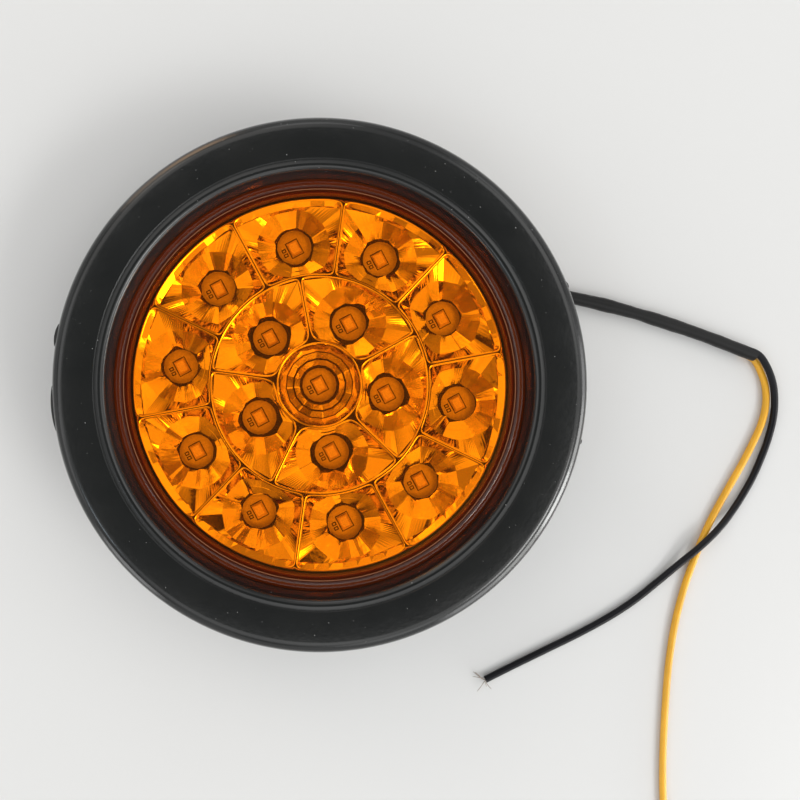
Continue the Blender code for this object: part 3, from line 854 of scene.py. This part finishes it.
def make_housing():
    """The back of the lamp. Its wall, floor and boss follow the CAD, with a shallow moulded ring sunk in
    the rear face."""
    inner_floor = DRUM_FLOOR + HOUSING_WALL
    corners = (
        (0.0, 0.0, 0.0),
        (24.0, 0.0, 0.1),
        (24.4, 0.35, 0.1),
        (26.0, 0.35, 0.1),
        (26.4, 0.0, 0.1),
        (BOSS_RADIUS, 0.0, 0.8),
        (BOSS_RADIUS, DRUM_FLOOR, 0.5),
        (DRUM_RADIUS, DRUM_FLOOR, 1.0),
        (DRUM_RADIUS, LAMP_FLANGE_BOTTOM, 0.3),
        (LAMP_FLANGE_RADIUS, LAMP_FLANGE_BOTTOM, 0.3),
        (LAMP_FLANGE_RADIUS, HOUSING_TOP, 0.2),
        (DRUM_INNER_RADIUS, HOUSING_TOP, 0.2),
        (DRUM_INNER_RADIUS, inner_floor, 0.5),
        (BOSS_INNER_RADIUS, inner_floor, 0.3),
        (BOSS_INNER_RADIUS, HOUSING_WALL, 0.5),
        (0.0, HOUSING_WALL, 0.0),
    )
    grid = turned_grid(fillet(corners, closed=False, steps=4), closed=False, segments=192)
    piece = finish_mesh("housing_shell", grid, (BLACK_PLASTIC,), 45)
    ride_for(piece, "lamp", "black_plastic", "housing")


def give_looks():
    """Materials for the CAD nodes that show as they are."""
    looks = {"polarity_diode": COMPONENT, "wire_gland": SLEEVE}
    for k in range(1, 4):
        looks[f"board_screw_{k}"] = ZINC
    for k in range(1, 5):
        looks[f"resistor_{k}"] = COMPONENT
    looks["black_inner_lead"] = BLACK_PVC
    looks["yellow_inner_lead"] = YELLOW_PVC
    for name, look in looks.items():
        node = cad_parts[name]
        for slot in node.material_slots:
            slot.material = look


# ---------------------------------------------------------------- reflector


# A ridge's rounded half section: distance from its centre line, and drop below its top
RIDGE_SECTION = ((0.0, 0.0), (0.10, 0.003), (0.19, 0.025), (0.30, 0.08), (0.42, 0.15), (0.54, 0.235))
WALL_TOP = RIDGE_HEIGHT - 0.28
PETAL_START = 4.95
PETAL_BASE = CUP_BOTTOM + 0.03
PETAL_END = 9.6
CROWDED_REACH = 8.0  # a side that is this short has its full ledge
ROOMY_REACH = 9.2  # one that is this long has almost none
PETAL_SLOPE = 35.5  # degrees, for a petal that faces along the lamp's rim
OUTER_SLOPE_CHANGE = 4.5  # steeper on a cup's outer side
INNER_SLOPE_CHANGE = 10.0  # flatter on its inner side
SHELF_RADIUS = 46.9  # the outer cups end here, and a shelf goes on to the rim
SHELF_HEIGHT = RIDGE_HEIGHT - 1.0
CENTRE_FACETS = 16
CUP_FACETS = 20


def ring_points(radius, start, degrees, step):
    """Points along an arc, about step degrees apart, without its last."""
    count = round(abs(degrees) / step)
    return [polar(radius, start + degrees * i / count) for i in range(count)]


def spoke_points(inner, outer, degrees, count):
    """Points along a spoke, without its last."""
    return [polar(inner + (outer - inner) * i / count, degrees) for i in range(count)]


def sector_outline(inner, outer, start, degrees, inner_step, outer_step, spoke_count):
    """A cell's outline on the ridges' centre lines, counter-clockwise."""
    end = start + degrees
    outline = spoke_points(inner, outer, start, spoke_count)
    outline += ring_points(outer, start, degrees, outer_step)
    outline += spoke_points(outer, inner, end, spoke_count)
    outline += ring_points(inner, end, -degrees, inner_step)
    return outline


def shifted(points, inset):
    """A counter-clockwise outline moved inwards by inset."""
    count = len(points)
    made = []
    for i, point in enumerate(points):
        along = (points[(i + 1) % count] - points[i - 1]).normalized()
        made.append(point + Vector((-along.y, along.x, 0.0)) * inset)
    return made


def relaxed(points, rounds_of):
    """The outline with its corners rounded, by moving each point towards the middle of its neighbours."""
    count = len(points)
    rounds = [rounds_of(point) for point in points]
    for turn in range(max(rounds)):
        moved = []
        for i, point in enumerate(points):
            middle = (points[i - 1] + points[(i + 1) % count]) / 2
            moved.append(point.lerp(middle, 0.5) if turn < rounds[i] else point)
        points = moved
    return points


def reach_towards(outline, centre, angle):
    """How far the outline is from centre in a direction."""
    ray = Vector((math.cos(angle), math.sin(angle)))
    count = len(outline)
    for i in range(count):
        a = (outline[i] - centre).to_2d()
        edge = (outline[(i + 1) % count] - outline[i]).to_2d()
        cross = ray.x * edge.y - ray.y * edge.x
        if abs(cross) < 1e-9:
            continue
        distance = (a.x * edge.y - a.y * edge.x) / cross
        share = (a.x * ray.y - a.y * ray.x) / cross
        if distance > 0 and -1e-6 <= share <= 1 + 1e-6:
            return distance
    return HOLE_RADIUS * 2


def petal_levels(reach, top, rng, outward, setback=0.0):
    """(radius, height) up a cup's side in one direction: a notched rim round the hole, a flat petal, and
    the facet from the petal's end to the ridge. A side with little room has a ledge half way up."""
    start = PETAL_START + setback + rng.uniform(-0.25, 0.7)
    end = min(PETAL_END + rng.uniform(-0.2, 0.2), reach - 0.45)
    crowded = max(0.0, min(1.0, (ROOMY_REACH - reach) / (ROOMY_REACH - CROWDED_REACH)))
    change = OUTER_SLOPE_CHANGE if outward > 0 else INNER_SLOPE_CHANGE
    slope = math.radians(PETAL_SLOPE + change * outward + rng.uniform(-2.0, 2.0))
    petal_top = PETAL_BASE + (end - start) * math.tan(slope)
    petal_top = min(petal_top, top - 0.15)
    levels = [(HOLE_RADIUS, CUP_BOTTOM - 0.5), (HOLE_RADIUS + 0.05, CUP_BOTTOM), (start, PETAL_BASE)]
    middle = (start + end) / 2
    height = (PETAL_BASE + petal_top) / 2
    ledge = 0.02 + 0.26 * crowded
    levels.append((middle - ledge / 2, height - 0.01))
    levels.append((middle + ledge / 2, height + 0.01))
    levels.append((end, petal_top))
    levels.append((reach - 0.02, top - 0.02))
    return levels


def inner_petal_levels(reach, top, rng, outward):
    """As petal_levels, with a wider and more ragged dark rim round the hole."""
    return petal_levels(reach, top, rng, outward, rng.choice((0.1, 0.4, 0.8)))


def centre_levels(reach, top, rng, outward):
    """The centre cup's rings: two bright sloping bands of facets between narrow ledges, and a steep one."""
    levels = [(HOLE_RADIUS, CUP_BOTTOM - 0.5), (HOLE_RADIUS + 0.05, CUP_BOTTOM)]
    radius, height = HOLE_RADIUS + 0.85, CUP_BOTTOM + 0.03
    levels.append((radius, height))
    for width, rise, ledge in ((1.35, 0.95, 0.5), (1.5, 1.1, 0.3)):
        radius += width
        height += rise + rng.uniform(-0.12, 0.22)
        levels.append((radius, height))
        radius += ledge
        levels.append((radius, height + 0.02))
    levels.append((reach - 0.5, top - 0.5))
    levels.append((reach - 0.02, top - 0.02))
    return levels


def cell_foot(middle, rng):
    """The line where a cell's facets begin, at the foot of its ridges. Where it would pass the shelf, it is
    the shelf's edge, and there its height steps up and down."""
    foot = []
    for i, point in enumerate(shifted(middle, RIDGE_SECTION[-1][0] + 0.06)):
        at = point.copy()
        at.z = WALL_TOP
        if i % 3 == 0:
            uneven = rng.uniform(-0.32, 0.25)
        if point.length > SHELF_RADIUS:
            at *= SHELF_RADIUS / point.length
            at.z = SHELF_HEIGHT + uneven
        foot.append(at)
    return foot


def facet_angles(centre, sectors, first_angle, corners):
    """The directions of a cup's sector lines: evenly spaced, but for one that goes into each corner."""
    angles = {round((first_angle + math.tau * k / sectors) % math.tau, 4) for k in range(sectors)}
    for corner in corners:
        extra = math.atan2(corner.y - centre.y, corner.x - centre.x) % math.tau
        near = {a for a in angles if abs((a - extra + math.pi) % math.tau - math.pi) < math.pi / sectors}
        angles -= near
        angles.add(round(extra, 4))
    return sorted(angles)


def facet_columns(foot, centre, angles, profile, rng):
    """The profile up the cup's side on each sector line."""
    columns = []
    for angle in angles:
        reach = reach_towards(foot, centre, angle)
        at = centre + Vector((math.cos(angle), math.sin(angle), 0.0)) * reach
        top = SHELF_HEIGHT if at.length > SHELF_RADIUS - 0.1 else WALL_TOP
        outward = (at - centre).normalized().dot(centre.normalized()) if centre.length else 0.0
        columns.append(profile(reach, top, rng, outward))
    return columns


def sector_places(foot, centre, angles):
    """For each point of the foot, its sector's number and how far across the sector it is."""
    places = []
    for point in foot:
        angle = math.atan2(point.y - centre.y, point.x - centre.x) % math.tau
        number = max((k for k, a in enumerate(angles) if a <= angle + 1e-6), default=len(angles) - 1)
        width = (angles[(number + 1) % len(angles)] - angles[number]) % math.tau
        places.append((number, ((angle - angles[number]) % math.tau) / width))
    return places


def facet_row(places, centre, angles, columns, level):
    """One ring of a cup's corners, with each place on the straight line between its two sector lines."""
    row = []
    for number, share in places:
        ends = []
        for k in (number, (number + 1) % len(angles)):
            radius, height = columns[k][level]
            away = Vector((math.cos(angles[k]), math.sin(angles[k]), 0.0)) * radius
            ends.append(Vector((centre.x, centre.y, height)) + away)
        row.append(ends[0].lerp(ends[1], share))
    return row


def make_cell(grid, outline, centre, sectors, first_angle, profile, rounds_of, seed, corners=()):
    """One cup with its half of the ridges round it. Facets are flat between sector lines and rings."""
    rng = random.Random(seed)
    middle = relaxed(outline, rounds_of)
    rows = []
    for inset, drop in RIDGE_SECTION:
        moved = outline if inset == 0.0 else shifted(middle, inset)
        rows.append([grid.verts.new((p.x, p.y, RIDGE_HEIGHT - drop)) for p in moved])
    foot = cell_foot(middle, rng)
    rows.append([grid.verts.new(p) for p in foot])
    angles = facet_angles(centre, sectors, first_angle, corners)
    columns = facet_columns(foot, centre, angles, profile, rng)
    places = sector_places(foot, centre, angles)
    for level in reversed(range(len(columns[0]))):
        rows.append([grid.verts.new(p) for p in facet_row(places, centre, angles, columns, level)])
    count = len(outline)
    for depth, (upper, lower) in enumerate(zip(rows, rows[1:])):
        for i in range(count):
            j = (i + 1) % count
            face = grid.faces.new((upper[i], upper[j], lower[j], lower[i]))
            face.smooth = depth < len(RIDGE_SECTION) - 1


def make_reflector():
    """The metallised sheet: a centre cup, five cups round it and ten outside, with thin ridges between."""
    grid = bmesh.new()

    def no_rounds(point):
        return 0

    def inner_rounds(point):
        return 22 if point.length < 17.0 else 5

    def outer_rounds(point):
        return 5

    outline = ring_points(CENTRE_RIDGE_RADIUS, FIRST_SPOKE, 360.0, 3.0)
    make_cell(grid, outline, Vector(), CENTRE_FACETS, 0.1, centre_levels, no_rounds, 1)
    for k in range(INNER_CUPS):
        start = FIRST_SPOKE + INNER_PITCH * k
        outline = sector_outline(CENTRE_RIDGE_RADIUS, MIDDLE_RIDGE_RADIUS, start, INNER_PITCH, 3.0, 1.5, 24)
        facing = start + INNER_PITCH / 2
        centre = polar(INNER_LED_RADIUS, facing)
        first = math.radians(facing)
        radius = MIDDLE_RIDGE_RADIUS - 1.2
        corners = [polar(radius, start + angle) for angle in (2.0, INNER_PITCH - 2.0)]
        levels = inner_petal_levels
        make_cell(grid, outline, centre, CUP_FACETS, first, levels, inner_rounds, 10 + k, corners)
    for k in range(OUTER_CUPS):
        start = FIRST_SPOKE - OUTER_PITCH / 2 + OUTER_PITCH * k
        outline = sector_outline(MIDDLE_RIDGE_RADIUS, OUTER_RIDGE_RADIUS, start, OUTER_PITCH, 1.5, 1.5, 28)
        facing = start + OUTER_PITCH / 2
        centre = polar(OUTER_LED_RADIUS, facing)
        first = math.radians(facing)
        corners = []
        for radius in (SHELF_RADIUS - 0.5, MIDDLE_RIDGE_RADIUS + 1.2):
            corners += [polar(radius, start + angle) for angle in (1.0, OUTER_PITCH - 1.0)]
        make_cell(grid, outline, centre, CUP_FACETS, first, petal_levels, outer_rounds, 20 + k, corners)
    bmesh.ops.remove_doubles(grid, verts=grid.verts, dist=0.004)
    bmesh.ops.recalc_face_normals(grid, faces=grid.faces)
    upward = sum(face.normal.z * face.calc_area() for face in grid.faces)
    if upward < 0:
        bmesh.ops.reverse_faces(grid, faces=grid.faces)
    piece = add_object("reflector_cups", make_mesh("reflector_cups", grid, (MIRROR,)))
    shell = piece.modifiers.new("Solidify", "SOLIDIFY")
    shell.thickness = 0.5 * MM
    shell.offset = -1.0
    ride_for(piece, "lamp", "metallised_plastic", "reflector")


# ---------------------------------------------------------------- board and LEDs


def led_places():
    """Each LED's node and the point under its middle."""
    places = [("led_center", Vector())]
    for k in range(INNER_CUPS):
        angle = FIRST_SPOKE + (k + 0.5) * INNER_PITCH
        places.append((f"led_inner_{k + 1}", polar(INNER_LED_RADIUS, angle)))
    for k in range(OUTER_CUPS):
        angle = FIRST_SPOKE + k * OUTER_PITCH
        places.append((f"led_outer_{k + 1}", polar(OUTER_LED_RADIUS, angle)))
    return places


def make_board():
    """The board, and on it round each LED its printed outline and two small pads."""
    underside = BOARD_TOP - BOARD_THICKNESS
    corners = (
        (0.0, BOARD_TOP, 0.0),
        (BOARD_RADIUS, BOARD_TOP, 0.1),
        (BOARD_RADIUS, underside, 0.1),
        (0.0, underside, 0.0),
    )
    grid = turned_grid(fillet(corners, closed=False, steps=2), closed=False, segments=128)
    board = finish_mesh("board_panel", grid, (BOARD,), 30)
    ride_for(board, "lamp", "board_mask", "circuit_board")
    grid = bmesh.new()
    spin = Matrix.Rotation(math.radians(LED_TURN), 3, "Z")
    # each frame's middle, half length and half width, and its line's width
    outline = (0.0, 0.0, LED_LENGTH / 2 + 0.5, LED_WIDTH / 2 + 0.38, 0.18)
    first_pad = (0.66, 2.85, 0.48, 0.58, 0.22)
    second_pad = (-0.66, 2.85, 0.48, 0.58, 0.22)
    for _, where in led_places():
        for u, v, half_length, half_width, thick in (outline, first_pad, second_pad):
            rows = []
            for inset in (0.0, thick):
                x, y = half_length - inset, half_width - inset
                row = []
                for a, b in ((-x, -y), (x, -y), (x, y), (-x, y)):
                    at = spin @ Vector((u + a, v + b, 0.0)) + where
                    row.append(grid.verts.new((at.x, at.y, BOARD_TOP + 0.04)))
                rows.append(row)
            for i in range(4):
                j = (i + 1) % 4
                grid.faces.new((rows[0][i], rows[0][j], rows[1][j], rows[1][i]))
    bmesh.ops.solidify(grid, geom=grid.faces[:], thickness=0.03)
    bmesh.ops.recalc_face_normals(grid, faces=grid.faces)
    marks = finish_mesh("board_marks", grid, (PRINT,), 30)
    ride_for(marks, "lamp", "board_mask")


def led_mesh():
    """A 2835 package: a pale moulded body round a sunken window of phosphor gel."""
    grid = bmesh.new()
    x, y = LED_LENGTH / 2, LED_WIDTH / 2
    loops = (
        (0.0, 0.0),
        (0.0, LED_HEIGHT - 0.12),
        (0.12, LED_HEIGHT),
        (0.32, LED_HEIGHT),
        (0.45, LED_HEIGHT - 0.12),
    )
    rows = []
    for inset, height in loops:
        u, v = x - inset, y - inset
        rows.append([grid.verts.new((a, b, height)) for a, b in ((-u, -v), (u, -v), (u, v), (-u, v))])
    for lower, upper in zip(rows, rows[1:]):
        for i in range(4):
            j = (i + 1) % 4
            grid.faces.new((lower[i], lower[j], upper[j], upper[i]))
    window = grid.faces.new(rows[-1])
    window.material_index = 1
    grid.faces.new(list(reversed(rows[0])))
    bmesh.ops.recalc_face_normals(grid, faces=grid.faces)
    return make_mesh("led_package", grid, (LED_BODY, PHOSPHOR))


def make_leds():
    mesh = led_mesh()
    for name, where in led_places():
        led = add_object("package_" + name, mesh)
        led.location = Vector((where.x, where.y, LED_BASE)) * MM
        led.rotation_euler = (0.0, 0.0, math.radians(LED_TURN))
        ride_for(led, "lamp", "led_package", name)


make_camera()
make_world()
make_floor()
make_lead()
make_grommet()
make_flash()
make_lens()
make_housing()
make_reflector()
make_board()
make_leds()
give_looks()
bpy.context.scene.view_settings.view_transform = "Standard"

# Light crosses the lens's two faces on its way in and out, and bounces between the cups' facets
bpy.context.scene.cycles.glossy_bounces = 12
bpy.context.scene.cycles.max_bounces = 20
bpy.context.scene.cycles.transparent_max_bounces = 24
